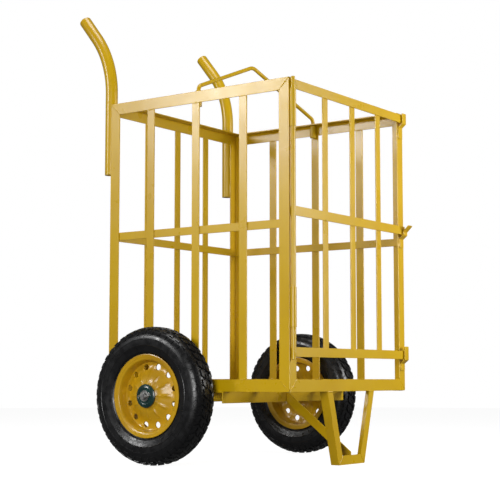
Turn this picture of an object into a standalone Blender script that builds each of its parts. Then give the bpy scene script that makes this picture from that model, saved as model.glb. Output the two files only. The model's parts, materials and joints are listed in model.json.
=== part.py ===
"""Two-wheeled cage hand cart: welded angle-iron cage, lift-off gate, lift-out hoop.

Metres, +Z up.  X runs along the axle, -Y is the gate side, +Y is the handle side.
Every position below is measured from the middle of the cage floor; the empty
"cart_origin" then moves the whole cart so that the world origin lies under the
middle of its bounding box.
"""
import bpy
import bmesh
from math import cos, pi, radians, sin, tan
from mathutils import Matrix, Vector

# ---------------------------------------------------------------- driving dimensions
GAP = 0.0003                      # clearance between pieces that touch
MITRE_GAP = 0.0002                # retreat of each mitred end from the mitre plane

CAGE_WIDTH = 0.660                # outside, along X
CAGE_DEPTH = 0.664                # outside, along Y
CAGE_BOTTOM = 0.2135
CAGE_TOP = 1.100
ANGLE_SIZE = 0.035                # leg of the frame's angle iron
ANGLE_WALL = 0.0035
FLAT_WIDTH = 0.027                # flat bar of the slats and of the gate
FLAT_WALL = 0.004
MID_RAIL_LOW = 0.673
MID_RAIL_HIGH = 0.697
SIDE_BAR_PITCH = 0.172
REAR_BAR_PITCH = 0.152
SLATS_ACROSS_FLOOR = 5

TYRE_RADIUS = 0.201
TRACK = 0.785                     # between the wheels' middle planes
AXLE_Y = 0.100                    # behind the middle of the cage
AXLE_RADIUS = 0.010
AXLE_END = 0.4475
RIM_RADIUS = 0.121
RIM_HALF_WIDTH = 0.0377
RIM_HOLES = 12
RIM_HOLE_CIRCLE = 0.086
RIM_HOLE_RADIUS = 0.009
BUSH_RADIUS = 0.0172
HUB_HALF_LENGTH = 0.036
CAP_RADIUS = 0.034
WHEEL_SEGMENTS = 32

BEAM_SIZE = 0.033
FRONT_BEAM_Y = -0.103
LEG_SIZE = 0.027
LEG_WALL = 0.003
STAND_HALF_TOP = 0.133
STAND_HALF_FOOT = 0.073
BRACE_WIDTH = 0.026

HANDLE_RADIUS = 0.019
HANDLE_WALL = 0.002
HANDLE_X = 0.307
HANDLE_LOW = 0.882
HANDLE_BEND_START = 1.140
HANDLE_BEND_RADIUS = 0.300
HANDLE_BEND_ANGLE = radians(38.5)
HANDLE_GRIP_LENGTH = 0.082

HOOP_RADIUS = 0.006
HOOP_LEG_X = 0.3155
HOOP_LEG_LOW = 1.060
HOOP_SHOULDER = 1.118
HOOP_PEAK = 1.229
HOOP_PEAK_X = -0.036
HOOP_SHOULDER_RADIUS = 0.018
HOOP_PEAK_RADIUS = 0.045
HOOP_COLLAR_RADIUS = 0.0095        # the collars that the hoop rests on
HOOP_COLLAR_TOP = 1.104
HOOP_SLEEVE_RADIUS = 0.010
HOOP_SLEEVE_LOW = 1.056

ROD_RADIUS = 0.006
ROD_LOW = 0.303
ROD_HIGH = 1.1005
ROD_X = -0.3235
SLEEVE_RADIUS = 0.009
SLEEVE_BORE = 0.0066
LOWER_SLEEVE = (0.393, 0.505)
UPPER_SLEEVE_LOW = 0.958
GATE_RAIL_BOTTOMS = {"top": 1.0665, "mid": 0.706, "bottom": 0.311}
GATE_RAIL_END = 0.319
GATE_BAR_PITCH = 0.154
GATE_BAR_MIDDLE = 0.006

HOOK_WALL = 0.003
HOOK_WIDTH = 0.025
HOOK_INSET = 0.005                # from the post's outer side
# how far each hook reaches below and above the gate rail's lower edge, and its flare
HOOKS = {"top": (0.050, 0.031, 0.0), "mid": (0.041, 0.028, 0.019), "bottom": (0.035, 0.040, 0.0)}

# ---------------------------------------------------------------- derived places
LEFT = -CAGE_WIDTH / 2
RIGHT = CAGE_WIDTH / 2
FRONT = -CAGE_DEPTH / 2
REAR = CAGE_DEPTH / 2
AXLE_Z = TYRE_RADIUS
ROD_Y = FRONT - SLEEVE_RADIUS - GAP
BEAM_TOP = CAGE_BOTTOM - GAP
HANDLE_Y = REAR + HANDLE_RADIUS + GAP
PRONG_Y = ROD_Y - FLAT_WALL / 2 - 0.003 - HOOK_WALL / 2
FRONT_MOST = PRONG_Y - HOOKS["mid"][2] - HOOK_WALL / 2
HANDLE_TIP_Y = (HANDLE_Y + HANDLE_BEND_RADIUS * (1 - cos(HANDLE_BEND_ANGLE))
                + HANDLE_GRIP_LENGTH * sin(HANDLE_BEND_ANGLE))
REAR_MOST = HANDLE_TIP_Y + HANDLE_RADIUS * cos(HANDLE_BEND_ANGLE)

X_AXIS = Vector((1, 0, 0))
Y_AXIS = Vector((0, 1, 0))
Z_AXIS = Vector((0, 0, 1))


# ---------------------------------------------------------------- scene and materials
def clear_scene():
    for item in list(bpy.data.objects):
        bpy.data.objects.remove(item, do_unlink=True)


def material(name, colour, roughness, metallic=0.0):
    paint = bpy.data.materials.new(name)
    paint.use_nodes = True
    shader = paint.node_tree.nodes["Principled BSDF"]
    shader.inputs["Base Color"].default_value = (*colour, 1.0)
    shader.inputs["Roughness"].default_value = roughness
    shader.inputs["Metallic"].default_value = metallic
    return paint


def make_origin():
    """The empty that puts the world origin under the middle of the bounding box."""
    origin = bpy.data.objects.new("cart_origin", None)
    origin.location = (0, -(FRONT_MOST + REAR_MOST) / 2, 0)
    bpy.context.scene.collection.objects.link(origin)
    return origin


def pivot(name, location):
    """An empty on a joint's axis, which carries the pieces that the joint moves."""
    empty = bpy.data.objects.new(name, None)
    empty.parent = ORIGIN
    empty.location = location
    bpy.context.scene.collection.objects.link(empty)
    return empty


def add_object(name, mesh_data, paint, smooth=False, parent=None):
    """Wrap a bmesh in an object under the cart's origin or under a joint's pivot."""
    bmesh.ops.recalc_face_normals(mesh_data, faces=mesh_data.faces)
    mesh = bpy.data.meshes.new(name)
    if parent is not None:
        bmesh.ops.translate(mesh_data, verts=mesh_data.verts, vec=-parent.location)
    mesh_data.to_mesh(mesh)
    mesh_data.free()
    mesh.materials.append(paint)
    if smooth:
        mesh.shade_smooth()
        mesh.set_sharp_from_angle(angle=radians(35))
    piece = bpy.data.objects.new(name, mesh)
    piece.parent = parent or ORIGIN
    bpy.context.scene.collection.objects.link(piece)
    return piece


# ---------------------------------------------------------------- shape builders
def box(name, low, high, paint, parent=None):
    shape = bmesh.new()
    size = Vector(high) - Vector(low)
    middle = (Vector(high) + Vector(low)) / 2
    placing = Matrix.Translation(middle) @ Matrix.Diagonal((*size, 1.0))
    bmesh.ops.create_cube(shape, size=1.0, matrix=placing)
    return add_object(name, shape, paint, parent=parent)


def prism(name, outline, x_low, x_high, paint):
    """A flat outline in the YZ plane, extruded along X."""
    shape = bmesh.new()
    base = shape.faces.new([shape.verts.new((x_low, y, z)) for y, z in outline])
    extruded = bmesh.ops.extrude_face_region(shape, geom=[base])
    moved = [item for item in extruded["geom"] if isinstance(item, bmesh.types.BMVert)]
    bmesh.ops.translate(shape, verts=moved, vec=(x_high - x_low, 0, 0))
    return add_object(name, shape, paint)


def cut_plane(point, normal):
    """A plane that ends a member; the normal points out of the member."""
    normal = Vector(normal).normalized()
    return Vector(point) - normal * MITRE_GAP, normal


def mitres(corner, own, others):
    """The planes that share a corner evenly between members leaving it."""
    own = Vector(own).normalized()
    return [cut_plane(corner, Vector(other).normalized() - own) for other in others]


def cut_point(point, direction, planes):
    """Slide a point back along the member until it is behind every cut plane."""
    retreat = max((point - at).dot(normal) / direction.dot(normal) for at, normal in planes)
    return point - direction * retreat


def angle_iron(name, start, end, flange_u, flange_v, cuts, paint, size=ANGLE_SIZE, wall=ANGLE_WALL):
    """An L section whose heel runs from start to end, with its flanges along u and v."""
    start, end = Vector(start), Vector(end)
    u, v = Vector(flange_u).normalized(), Vector(flange_v).normalized()
    along = (end - start).normalized()
    profile = [(0, 0), (wall, 0), (size, 0), (size, wall), (wall, wall), (wall, size), (0, size), (0, wall)]
    shape = bmesh.new()
    rings = []
    for centre, direction, planes in ((start, -along, cuts[0]), (end, along, cuts[1])):
        points = [cut_point(centre + u * a + v * b, direction, planes) for a, b in profile]
        rings.append([shape.verts.new(point) for point in points])
    for ring in rings:
        for corners in ((0, 1, 4), (0, 4, 7), (1, 2, 3, 4), (7, 4, 5, 6)):
            shape.faces.new([ring[corner] for corner in corners])
    for first in range(len(profile)):
        second = (first + 1) % len(profile)
        shape.faces.new((rings[0][first], rings[0][second], rings[1][second], rings[1][first]))
    return add_object(name, shape, paint)


def turned(name, profile, centre, paint, axis="X", segments=24, parent=None):
    """A closed profile of (along, radius) points, turned about an axis through centre."""
    shape = bmesh.new()
    if axis == "X":
        points = [Vector((along, radius, 0)) for along, radius in profile]
        direction = X_AXIS
    else:
        points = [Vector((radius, 0, along)) for along, radius in profile]
        direction = Z_AXIS
    verts = [shape.verts.new(point) for point in points]
    edges = [shape.edges.new((verts[i - 1], verts[i])) for i in range(len(verts))]
    bmesh.ops.spin(shape, geom=verts + edges, cent=(0, 0, 0), axis=direction, angle=2 * pi, steps=segments)
    bmesh.ops.remove_doubles(shape, verts=shape.verts, dist=0.00001)
    bmesh.ops.translate(shape, verts=shape.verts, vec=centre)
    return add_object(name, shape, paint, smooth=True, parent=parent)


def rounded_path(corners, radii, steps):
    """Straight runs between corners, with an arc at each inner corner, one radius for each."""
    corners = [Vector(corner) for corner in corners]
    path = [corners[0]]
    for before, corner, after, radius in zip(corners, corners[1:], corners[2:], radii):
        back, ahead = (before - corner).normalized(), (after - corner).normalized()
        turn = pi - back.angle(ahead)
        start = corner + back * radius * tan(turn / 2)
        centre = corner + (back + ahead).normalized() * radius / cos(turn / 2)
        spoke = start - centre
        normal = ahead.cross(back).normalized()
        for step in range(steps + 1):
            path.append(centre + Matrix.Rotation(turn * step / steps, 3, normal) @ spoke)
    return path + [corners[-1]]


def section_ring(shape, path, index, normal, radius, sides):
    """One ring of a round section, square to the path at a point of it."""
    ahead = path[min(index + 1, len(path) - 1)] - path[index]
    behind = path[index] - path[max(index - 1, 0)]
    tangent = (ahead.normalized() + behind.normalized()).normalized()
    across = tangent.cross(normal)
    turns = [2 * pi * side / sides for side in range(sides)]
    return [shape.verts.new(path[index] + radius * (cos(t) * across + sin(t) * normal)) for t in turns]


def skin(shape, rings):
    """Quads between rings of equal length."""
    for ring, following in zip(rings, rings[1:]):
        for side in range(len(ring)):
            other = (side + 1) % len(ring)
            shape.faces.new((ring[side], ring[other], following[other], following[side]))


def round_rod(name, path, radii, sides, normal, paint, parent=None):
    """A solid round bar swept along a flat path, with one radius for each point of it."""
    shape = bmesh.new()
    rings = [section_ring(shape, path, i, normal, radii[i], sides) for i in range(len(path))]
    skin(shape, rings)
    shape.faces.new(rings[0])
    shape.faces.new(rings[-1])
    return add_object(name, shape, paint, smooth=True, parent=parent)


def bent_tube(name, path, radius, wall, sides, normal, paint):
    """A tube swept along a flat path, open at its start and closed at its end."""
    shape = bmesh.new()
    outer = [section_ring(shape, path, i, normal, radius, sides) for i in range(len(path))]
    lining = path[:-1] + [path[-1] - (path[-1] - path[-2]).normalized() * wall]
    inner = [section_ring(shape, lining, i, normal, radius - wall, sides) for i in range(len(lining))]
    skin(shape, outer)
    skin(shape, inner)
    skin(shape, [outer[0], inner[0]])
    shape.faces.new(outer[-1])
    shape.faces.new(inner[-1])
    return add_object(name, shape, paint, smooth=True)


def ring_profile(low, high, inner, outer):
    return [(low, inner), (low, outer), (high, outer), (high, inner)]


def cut_holes(piece, cutters, joined_as):
    """Subtract a set of closed meshes, held together in one hidden cutter."""
    mesh = bpy.data.meshes.new(joined_as)
    cutters.to_mesh(mesh)
    cutters.free()
    cutter = bpy.data.objects.new(joined_as, mesh)
    cutter.parent = piece.parent
    cutter.hide_render = True
    cutter.display_type = "WIRE"
    bpy.context.scene.collection.objects.link(cutter)
    cut = piece.modifiers.new("holes", "BOOLEAN")
    cut.operation = "DIFFERENCE"
    cut.solver = "EXACT"
    cut.object = cutter


def add_drill(shape, centre, radius, length, axis, sides=10):
    """A closed round cutter about a line through centre."""
    turn = Z_AXIS.rotation_difference(axis).to_matrix().to_4x4()
    placing = Matrix.Translation(centre) @ turn
    bmesh.ops.create_cone(shape, cap_ends=True, segments=sides, radius1=radius, radius2=radius,
                          depth=length, matrix=placing)


# ---------------------------------------------------------------- cage
def build_posts():
    for x_name, x, inward_x in (("left", LEFT, X_AXIS), ("right", RIGHT, -X_AXIS)):
        for y_name, y, inward_y in (("front", FRONT, Y_AXIS), ("rear", REAR, -Y_AXIS)):
            foot, head = Vector((x, y, CAGE_BOTTOM)), Vector((x, y, CAGE_TOP))
            top_neighbours = (inward_y,) if y_name == "front" else (inward_x, inward_y)
            cuts = (mitres(foot, Z_AXIS, (inward_x, inward_y)), mitres(head, -Z_AXIS, top_neighbours))
            angle_iron(f"post_{y_name}_{x_name}", foot, head, inward_x, inward_y, cuts, YELLOW)


def build_ring(level_name, z, inward_z, has_front):
    """The angle-iron ring at the cage's top or bottom; the top has no front member."""
    for name, x, inward_x in (("left", LEFT, X_AXIS), ("right", RIGHT, -X_AXIS)):
        front, rear = Vector((x, FRONT, z)), Vector((x, REAR, z))
        front_neighbours = (inward_x, inward_z) if has_front else (inward_z,)
        cuts = (mitres(front, Y_AXIS, front_neighbours), mitres(rear, -Y_AXIS, (inward_x, inward_z)))
        rail = angle_iron(f"{level_name}_rail_{name}", front, rear, inward_x, inward_z, cuts, YELLOW)
        if level_name == "top":
            drill = bmesh.new()
            leg = HOOP_LEG_X if x > 0 else -HOOP_LEG_X
            add_drill(drill, (leg, 0, z), HOOP_RADIUS + 0.0006, 0.02, Z_AXIS)
            cut_holes(rail, drill, f"hoop_hole_cutter_{name}")
    sides = [("rear", REAR, -Y_AXIS)]
    if has_front:
        sides.append(("front", FRONT, Y_AXIS))
    for name, y, inward_y in sides:
        left, right = Vector((LEFT, y, z)), Vector((RIGHT, y, z))
        cuts = (mitres(left, X_AXIS, (inward_y, inward_z)), mitres(right, -X_AXIS, (inward_y, inward_z)))
        angle_iron(f"{level_name}_rail_{name}", left, right, inward_y, inward_z, cuts, YELLOW)


def build_mid_rails():
    """Flat bars behind the slats, welded between the posts' inner faces."""
    outer = FLAT_WALL + GAP
    inner = outer + FLAT_WALL
    reach = ANGLE_WALL + GAP
    for name, near, far in (("left", LEFT + outer, LEFT + inner), ("right", RIGHT - inner, RIGHT - outer)):
        box(f"mid_rail_{name}", (near, FRONT + reach, MID_RAIL_LOW), (far, REAR - reach, MID_RAIL_HIGH), YELLOW)
    box("mid_rail_rear", (LEFT + inner + GAP, REAR - inner, MID_RAIL_LOW),
        (RIGHT - inner - GAP, REAR - outer, MID_RAIL_HIGH), YELLOW)


def build_slats():
    """Upright flat bars, flush with the cage's outer faces."""
    low = CAGE_BOTTOM + ANGLE_SIZE + GAP
    high = CAGE_TOP - ANGLE_SIZE - GAP
    half = FLAT_WIDTH / 2
    for number in (1, 2, 3):
        y = (number - 2) * SIDE_BAR_PITCH
        box(f"side_bar_left_{number}", (LEFT, y - half, low), (LEFT + FLAT_WALL, y + half, high), YELLOW)
        box(f"side_bar_right_{number}", (RIGHT - FLAT_WALL, y - half, low), (RIGHT, y + half, high), YELLOW)
        x = (number - 2) * REAR_BAR_PITCH
        box(f"rear_bar_{number}", (x - half, REAR - FLAT_WALL, low), (x + half, REAR, high), YELLOW)


def build_floor():
    """A grid of flat bars on the bottom ring's flanges: one plate with long windows."""
    reach = ANGLE_WALL + GAP
    low = CAGE_BOTTOM + ANGLE_WALL + GAP
    x_low, x_high = LEFT + reach, RIGHT - reach
    y_low, y_high = FRONT + reach, REAR - reach
    floor = box("floor_grid", (x_low, y_low, low), (x_high, y_high, low + FLAT_WALL), YELLOW)
    pitch = (x_high - x_low - FLAT_WIDTH) / (SLATS_ACROSS_FLOOR - 1)
    windows = bmesh.new()
    for number in range(SLATS_ACROSS_FLOOR - 1):
        left = x_low + number * pitch + FLAT_WIDTH
        width = pitch - FLAT_WIDTH
        for y_from, y_to in ((y_low + ANGLE_SIZE, -FLAT_WIDTH / 2), (FLAT_WIDTH / 2, y_high - ANGLE_SIZE)):
            middle = (left + width / 2, (y_from + y_to) / 2, low)
            placing = Matrix.Translation(middle) @ Matrix.Diagonal((width, y_to - y_from, 0.02, 1.0))
            bmesh.ops.create_cube(windows, size=1.0, matrix=placing)
    cut_holes(floor, windows, "floor_window_cutter")


# ---------------------------------------------------------------- undercarriage
def build_beams():
    """Two angle irons across the underside; the rear one holds the axle."""
    rear_beam_y = AXLE_Y - AXLE_RADIUS - GAP
    for name, y, flange in (("cross_beam_front", FRONT_BEAM_Y, Y_AXIS), ("axle_beam", rear_beam_y, -Y_AXIS)):
        left, right = Vector((LEFT, y, BEAM_TOP)), Vector((RIGHT, y, BEAM_TOP))
        cuts = ([(left, -X_AXIS)], [(right, X_AXIS)])
        angle_iron(name, left, right, flange, -Z_AXIS, cuts, YELLOW, size=BEAM_SIZE)


def build_stand():
    """A U of angle iron under the front rail, with a brace back to the front beam."""
    top_z = CAGE_BOTTOM - GAP
    for name, side in (("left", -1), ("right", 1)):
        foot = Vector((side * STAND_HALF_FOOT, FRONT, 0))
        head = Vector((side * STAND_HALF_TOP, FRONT, top_z))
        along = (head - foot).normalized()
        inward = side * along.cross(Y_AXIS)
        cuts = (mitres(foot, along, (-side * X_AXIS,)), [(head, Z_AXIS)])
        angle_iron(f"stand_leg_{name}", foot, head, Y_AXIS, inward, cuts, YELLOW, size=LEG_SIZE, wall=LEG_WALL)
    left, right = Vector((-STAND_HALF_FOOT, FRONT, 0)), Vector((STAND_HALF_FOOT, FRONT, 0))
    lean = Vector((STAND_HALF_TOP - STAND_HALF_FOOT, 0, top_z)).normalized()
    lean_left = Vector((-lean.x, 0, lean.z))
    cuts = (mitres(left, X_AXIS, (lean_left,)), mitres(right, -X_AXIS, (lean,)))
    angle_iron("stand_foot", left, right, Y_AXIS, Z_AXIS, cuts, YELLOW, size=LEG_SIZE, wall=LEG_WALL)
    build_brace()


def build_brace():
    """A flat bar on edge, from the foot's inner corner up to the front beam's face."""
    y_low = FRONT + LEG_WALL + GAP
    y_high = FRONT_BEAM_Y - GAP
    run = y_high - y_low
    rise = BEAM_TOP - BRACE_WIDTH * 1.3 - LEG_WALL - GAP
    half = BRACE_WIDTH / 2 * (run ** 2 + rise ** 2) ** 0.5 / run
    z_low = LEG_WALL + GAP + half
    outline = [(y_low, z_low - half), (y_high, z_low + rise - half),
               (y_high, z_low + rise + half), (y_low, z_low + half)]
    prism("stand_brace", outline, -FLAT_WALL / 2, FLAT_WALL / 2, YELLOW)


def build_axle():
    """One round bar right across, with a collar inboard of each hub and a pin hole at each end."""
    hub_inner = TRACK / 2 - HUB_HALF_LENGTH
    collar = (hub_inner - 0.0083, hub_inner - GAP)
    collar_radius = AXLE_RADIUS + 0.004
    right_half = [(collar[0], AXLE_RADIUS), (collar[0], collar_radius), (collar[1], collar_radius),
                  (collar[1], AXLE_RADIUS), (AXLE_END - 0.0015, AXLE_RADIUS), (AXLE_END, AXLE_RADIUS - 0.0015)]
    left_half = [(-along, radius) for along, radius in reversed(right_half)]
    outline = [(-AXLE_END, 0)] + left_half + right_half + [(AXLE_END, 0)]
    axle = lathe_solid("axle", outline, (0, AXLE_Y, AXLE_Z), STEEL, 20)
    drills = bmesh.new()
    for side in (-1, 1):
        add_drill(drills, (side * PIN_X, AXLE_Y, AXLE_Z), PIN_RADIUS + 0.0005, 0.03, Y_AXIS, sides=8)
    cut_holes(axle, drills, "pin_hole_cutter")


def lathe_solid(name, outline, centre, paint, segments):
    """An open (along, radius) outline that starts and ends on the X axis, turned solid."""
    shape = bmesh.new()
    verts = [shape.verts.new((along, radius, 0)) for along, radius in outline]
    edges = [shape.edges.new(pair) for pair in zip(verts, verts[1:])]
    bmesh.ops.spin(shape, geom=verts + edges, cent=(0, 0, 0), axis=X_AXIS, angle=2 * pi, steps=segments)
    bmesh.ops.remove_doubles(shape, verts=shape.verts, dist=0.00001)
    bmesh.ops.translate(shape, verts=shape.verts, vec=centre)
    return add_object(name, shape, paint, smooth=True)


# ---------------------------------------------------------------- wheels
WASHER_IN = TRACK / 2 + 0.0432
WASHER_OUT = WASHER_IN + 0.002
PIN_RADIUS = 0.0016
PIN_X = WASHER_OUT + PIN_RADIUS + 0.0016


def rim_profile():
    """Barrel, pressed disc and hub tube as one closed section; outboard is positive."""
    w, r = RIM_HALF_WIDTH, RIM_RADIUS
    tyre_side = [(w, r), (w - 0.0035, r), (w - 0.005, r - 0.013), (0.015, r - 0.017),
                 (-0.015, r - 0.017), (-w + 0.005, r - 0.013), (-w + 0.0035, r), (-w, r)]
    inboard = [(-w + 0.002, r - 0.0165), (-0.015, r - 0.0205), (0.002, r - 0.0205),
               (0.005, RIM_HOLE_CIRCLE + 0.010), (0.005, RIM_HOLE_CIRCLE - 0.010),
               (0.0245, 0.046), (0.0265, BUSH_RADIUS + 0.0055)]
    hub = [(-HUB_HALF_LENGTH, BUSH_RADIUS + 0.0055), (-HUB_HALF_LENGTH, BUSH_RADIUS + GAP),
           (HUB_HALF_LENGTH, BUSH_RADIUS + GAP), (HUB_HALF_LENGTH, 0.030)]
    outboard = [(0.0285, 0.047), (0.009, RIM_HOLE_CIRCLE - 0.010), (0.009, RIM_HOLE_CIRCLE + 0.010),
                (0.006, r - 0.0225), (0.015, r - 0.0205), (w - 0.002, r - 0.0165)]
    return tyre_side + inboard + hub + outboard


def tyre_profile():
    """A tyre's section, open towards the rim between its two beads."""
    tread = TYRE_RADIUS
    bead = RIM_RADIUS - 0.0125
    half = [(0.030, bead), (0.034, RIM_RADIUS + 0.004), (0.0455, 0.146), (0.0465, 0.163),
            (0.040, 0.187), (0.028, tread - 0.0015), (0.012, tread)]
    lining = [(0.0105, 0.189), (0.030, 0.181), (0.0385, 0.160), (0.027, 0.122), (0.022, bead + 0.0005)]
    outer = half + [(-along, radius) for along, radius in reversed(half)]
    inner = [(-along, radius) for along, radius in reversed(lining)] + lining
    return outer + inner


def mirrored(profile, side):
    return [(side * along, radius) for along, radius in profile]


def build_wheel(name, side):
    centre = Vector((side * TRACK / 2, AXLE_Y, AXLE_Z))
    hub = pivot(f"wheel_pivot_{name}", centre)
    turned(f"tyre_{name}", mirrored(tyre_profile(), side), centre, RUBBER, segments=WHEEL_SEGMENTS, parent=hub)
    rim = turned(f"rim_{name}", mirrored(rim_profile(), side), centre, YELLOW,
                 segments=WHEEL_SEGMENTS, parent=hub)
    drills = bmesh.new()
    for number in range(RIM_HOLES):
        turn = 2 * pi * (number + 0.5) / RIM_HOLES
        place = Vector((side * 0.007, RIM_HOLE_CIRCLE * cos(turn), RIM_HOLE_CIRCLE * sin(turn)))
        add_drill(drills, place, RIM_HOLE_RADIUS, 0.012, X_AXIS, sides=8)
    cut_holes(rim, drills, f"rim_hole_cutter_{name}")
    turned(f"wheel_bush_{name}", ring_profile(-HUB_HALF_LENGTH, HUB_HALF_LENGTH, AXLE_RADIUS + GAP, BUSH_RADIUS),
           centre, BRONZE, segments=20, parent=hub)
    cap = [(HUB_HALF_LENGTH + GAP, AXLE_RADIUS + 0.0008), (HUB_HALF_LENGTH + GAP, CAP_RADIUS),
           (HUB_HALF_LENGTH + 0.003, CAP_RADIUS), (HUB_HALF_LENGTH + 0.0065, CAP_RADIUS - 0.008),
           (HUB_HALF_LENGTH + 0.0065, AXLE_RADIUS + 0.0008)]
    turned(f"hub_cap_{name}", mirrored(cap, side), centre, GREEN, segments=24, parent=hub)
    build_axle_fastening(name, side)


def build_axle_fastening(name, side):
    """The washer and split pin that keep a wheel on; they stay with the axle."""
    washer = ring_profile(side * WASHER_IN, side * WASHER_OUT, AXLE_RADIUS + GAP, AXLE_RADIUS + 0.006)
    turned(f"axle_washer_{name}", washer, (0, AXLE_Y, AXLE_Z), ZINC, segments=20)
    eye = 0.0045
    tail, neck = AXLE_Y + 0.018, AXLE_Y - AXLE_RADIUS - eye - PIN_RADIUS - 0.0015
    path = [Vector((side * PIN_X, y, AXLE_Z)) for y in (tail, AXLE_Y, neck)]
    for step in range(1, 9):
        turn = 2 * pi * step / 11
        path.append(Vector((side * PIN_X, neck - eye * sin(turn), AXLE_Z + eye * (1 - cos(turn)))))
    round_rod(f"split_pin_{name}", path, [PIN_RADIUS] * len(path), 6, X_AXIS, ZINC)


# ---------------------------------------------------------------- handles and hoop
def build_handles():
    straight_top = HANDLE_BEND_START + HANDLE_BEND_RADIUS * tan(HANDLE_BEND_ANGLE / 2)
    reach = HANDLE_BEND_RADIUS * tan(HANDLE_BEND_ANGLE / 2) + HANDLE_GRIP_LENGTH
    for name, side in (("left", -1), ("right", 1)):
        x = side * HANDLE_X
        corner = Vector((x, HANDLE_Y, straight_top))
        tip = corner + Vector((0, sin(HANDLE_BEND_ANGLE), cos(HANDLE_BEND_ANGLE))) * reach
        path = rounded_path([(x, HANDLE_Y, HANDLE_LOW), corner, tip], [HANDLE_BEND_RADIUS], 7)
        bent_tube(f"handle_{name}", path, HANDLE_RADIUS, HANDLE_WALL, 14, X_AXIS, YELLOW)


def build_hoop():
    """The bent rod over the cage, its two collars and the sleeves that it stands in."""
    lift = pivot("hoop_pivot", (0, 0, CAGE_TOP))
    corners = [(-HOOP_LEG_X, 0, HOOP_LEG_LOW), (-HOOP_LEG_X, 0, HOOP_SHOULDER), (HOOP_PEAK_X, 0, HOOP_PEAK),
               (HOOP_LEG_X, 0, HOOP_SHOULDER), (HOOP_LEG_X, 0, HOOP_LEG_LOW)]
    bends = (HOOP_SHOULDER_RADIUS, HOOP_PEAK_RADIUS, HOOP_SHOULDER_RADIUS)
    bend = rounded_path(corners, bends, 4)
    collar = (CAGE_TOP + GAP, CAGE_TOP + GAP, HOOP_COLLAR_TOP, HOOP_COLLAR_TOP)
    steps = [HOOP_RADIUS, HOOP_COLLAR_RADIUS, HOOP_COLLAR_RADIUS, HOOP_RADIUS]
    rise = [Vector((-HOOP_LEG_X, 0, z)) for z in collar]
    fall = [Vector((HOOP_LEG_X, 0, z)) for z in reversed(collar)]
    path = bend[:1] + rise + bend[1:-1] + fall + bend[-1:]
    radii = [HOOP_RADIUS] + steps + [HOOP_RADIUS] * (len(bend) - 2) + steps + [HOOP_RADIUS]
    round_rod("hoop", path, radii, 10, Y_AXIS, YELLOW, parent=lift)
    for name, side in (("left", -1), ("right", 1)):
        top = CAGE_TOP - ANGLE_WALL - GAP
        turned(f"hoop_sleeve_{name}", ring_profile(HOOP_SLEEVE_LOW, top, HOOP_RADIUS + 0.0006, HOOP_SLEEVE_RADIUS),
               (side * HOOP_LEG_X, 0, 0), YELLOW, axis="Z", segments=14)


# ---------------------------------------------------------------- gate
def build_gate():
    """The gate's round stile turns and lifts in two sleeves; its rails rest in three hooks."""
    swing = pivot("gate_pivot", (ROD_X, ROD_Y, ROD_LOW))
    turned("gate_rod", [(ROD_LOW, 0.0015), (ROD_LOW, ROD_RADIUS), (ROD_HIGH, ROD_RADIUS), (ROD_HIGH, 0.0015)],
           (ROD_X, ROD_Y, 0), YELLOW, axis="Z", segments=14, parent=swing)
    sleeves = {"lower": LOWER_SLEEVE, "upper": (UPPER_SLEEVE_LOW, GATE_RAIL_BOTTOMS["top"] - GAP)}
    for name, (low, high) in sleeves.items():
        turned(f"hinge_sleeve_{name}", ring_profile(low, high, SLEEVE_BORE, SLEEVE_RADIUS),
               (ROD_X, ROD_Y, 0), YELLOW, axis="Z", segments=16)
    half_wall = FLAT_WALL / 2
    for name, low in GATE_RAIL_BOTTOMS.items():
        box(f"gate_rail_{name}", (ROD_X + ROD_RADIUS + GAP, ROD_Y - half_wall, low),
            (GATE_RAIL_END, ROD_Y + half_wall, low + FLAT_WIDTH), YELLOW, parent=swing)
    for number in (1, 2, 3):
        x = GATE_BAR_MIDDLE + (number - 2) * GATE_BAR_PITCH
        box(f"gate_bar_{number}", (x - FLAT_WIDTH / 2, ROD_Y + half_wall + GAP, GATE_RAIL_BOTTOMS["bottom"] + 0.003),
            (x + FLAT_WIDTH / 2, ROD_Y + half_wall + GAP + FLAT_WALL, GATE_RAIL_BOTTOMS["top"] + FLAT_WIDTH - 0.003),
            YELLOW, parent=swing)


def strip_outline(path, wall):
    """The outline of a bent strip of even wall about a path of (y, z) points."""
    path = [Vector(point) for point in path]
    sides = ([], [])
    for index, point in enumerate(path):
        ahead = (path[min(index + 1, len(path) - 1)] - path[max(index, 0)])
        behind = (path[index] - path[max(index - 1, 0)])
        ahead = ahead if ahead.length > 0 else behind
        behind = behind if behind.length > 0 else ahead
        normals = [Vector((-step.y, step.x)).normalized() for step in (behind, ahead)]
        shift = (normals[0] + normals[1]).normalized()
        shift = shift * wall / 2 / shift.dot(normals[0])
        sides[0].append(point + shift)
        sides[1].append(point - shift)
    return sides[0] + list(reversed(sides[1]))


def build_hooks():
    """Strips on the latch post, stepped outward to hold the gate rails' ends."""
    back = FRONT - GAP - HOOK_WALL / 2
    x_high = RIGHT - HOOK_INSET
    for name, (drop, rise, flare) in HOOKS.items():
        rail = GATE_RAIL_BOTTOMS[name]
        path = [(back, rail - drop), (back, rail - 0.013), (PRONG_Y, rail - 0.0015)]
        if flare:
            path.append((PRONG_Y, rail + 0.009))
        path.append((PRONG_Y - flare, rail + rise))
        prism(f"gate_hook_{name}", strip_outline(path, HOOK_WALL), x_high - HOOK_WIDTH, x_high, YELLOW)


clear_scene()
ORIGIN = make_origin()
YELLOW = material("yellow_paint", (0.70, 0.43, 0.01), 0.30)
RUBBER = material("black_rubber", (0.012, 0.012, 0.013), 0.55)
STEEL = material("axle_steel", (0.45, 0.45, 0.44), 0.40, 1.0)
ZINC = material("zinc_plate", (0.62, 0.62, 0.60), 0.30, 1.0)
BRONZE = material("bush_bronze", (0.45, 0.30, 0.12), 0.45, 1.0)
GREEN = material("dark_green_cap", (0.010, 0.045, 0.040), 0.25)

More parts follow.
